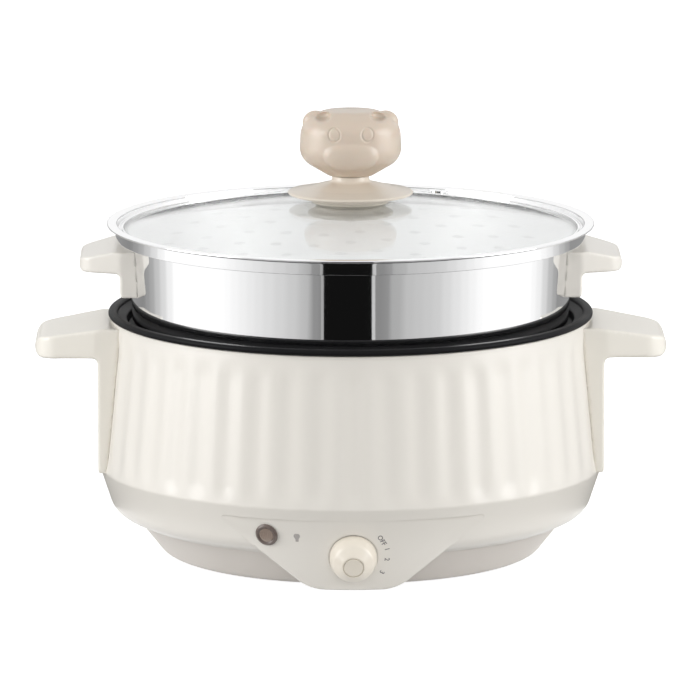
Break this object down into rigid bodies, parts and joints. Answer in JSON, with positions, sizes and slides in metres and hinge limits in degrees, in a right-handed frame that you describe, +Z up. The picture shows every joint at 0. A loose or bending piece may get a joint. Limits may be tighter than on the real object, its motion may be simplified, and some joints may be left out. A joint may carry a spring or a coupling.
{
  "type": "electric hot pot",
  "caption": "Round electric hot pot with fluted housing, two side handles, front dial, non-stick pan, steel steamer tier and lift-off domed glass lid with a knob.",
  "frame": {"origin": "on the surface the pot stands on, under the middle of its box, on the pot's axis", "axes": "+Z up along the pot's axis; +X along the two side handles; -Y is the front with the dial, +Y the back with the power inlet"},
  "size_m": [0.3884, 0.3247, 0.2775],
  "materials": {
    "body_plastic": "glossy cream moulded plastic",
    "cover_plastic": "light grey moulded plastic, satin",
    "foot_rubber": "grey rubber",
    "screw_steel": "zinc-plated steel",
    "nonstick_coating": "black non-stick coating on aluminium, semi-gloss",
    "shield_aluminium": "plain aluminium sheet",
    "element_steel": "heat-tinted steel tube",
    "thermostat_body": "dark phenolic",
    "bracket_steel": "zinc-plated sheet steel",
    "fuse_body": "ceramic-coloured body",
    "switch_plastic": "black moulded plastic",
    "bezel_plastic": "dark brown-grey plastic",
    "lens_plastic": "translucent mauve-brown lens, ribbed",
    "bulb_glass": "neon bulb glass",
    "pin_brass": "plain brass",
    "dial_plastic": "glossy cream plastic",
    "shaft_plastic": "white nylon",
    "steamer_steel": "mirror-polished stainless steel",
    "lid_glass": "clear tempered glass",
    "hoop_steel": "polished stainless steel",
    "gasket_silicone": "translucent silicone",
    "knob_plastic": "glossy cream plastic"
  },
  "bodies": {
    "base": {"housing": "body_plastic", "base_cover": "cover_plastic", "rubber_feet": "foot_rubber", "base_screws": "screw_steel", "inner_pan": "nonstick_coating", "pan_studs": "screw_steel", "heat_shield": "shield_aluminium", "shield_nuts": "screw_steel", "heating_element": "element_steel", "thermostat": "thermostat_body", "thermostat_bracket": "bracket_steel", "bracket_screws": "screw_steel", "thermal_fuse": "fuse_body", "fuse_clip": "bracket_steel", "handle_right": "body_plastic", "handle_left": "body_plastic", "handle_screws": "screw_steel", "switch_body": "switch_plastic", "switch_screws": "screw_steel", "lamp_bezel": "bezel_plastic", "lamp_lens": "lens_plastic", "lamp_bulb": "bulb_glass", "lamp_clip": "bracket_steel", "inlet_shroud": "body_plastic", "inlet_pins": "pin_brass", "inlet_screws": "screw_steel"},
    "dial": {"dial_knob": "dial_plastic", "switch_shaft": "shaft_plastic", "switch_rotor": "shaft_plastic"},
    "steamer": {"steamer_shell": "steamer_steel", "steamer_floor": "steamer_steel", "steamer_handle_right": "body_plastic", "steamer_handle_left": "body_plastic", "steamer_handle_screws": "screw_steel"},
    "lid": {"lid_glass": "lid_glass", "lid_hoop": "hoop_steel", "vent_eyelet": "hoop_steel", "knob_gasket": "gasket_silicone", "lid_skirt": "body_plastic", "lid_knob": "knob_plastic", "knob_insert": "pin_brass", "cup_gasket": "gasket_silicone", "lid_inner_cup": "body_plastic", "lid_screw": "screw_steel"}
  },
  "joints": [
    {"name": "dial_turn", "type": "hinge", "parent": "base", "child": "dial", "pos_m": [0, -0.14678, 0.0271], "axis": [0, -0.9659, -0.2588], "range_deg": [-57, 0]},
    {"name": "steamer_lift", "type": "slide", "parent": "base", "child": "steamer", "axis": [0, 0, 1], "range_m": [0, 0.1]},
    {"name": "lid_lift", "type": "slide", "parent": "steamer", "child": "lid", "axis": [0, 0, 1], "range_m": [0, 0.08]}
  ]
}
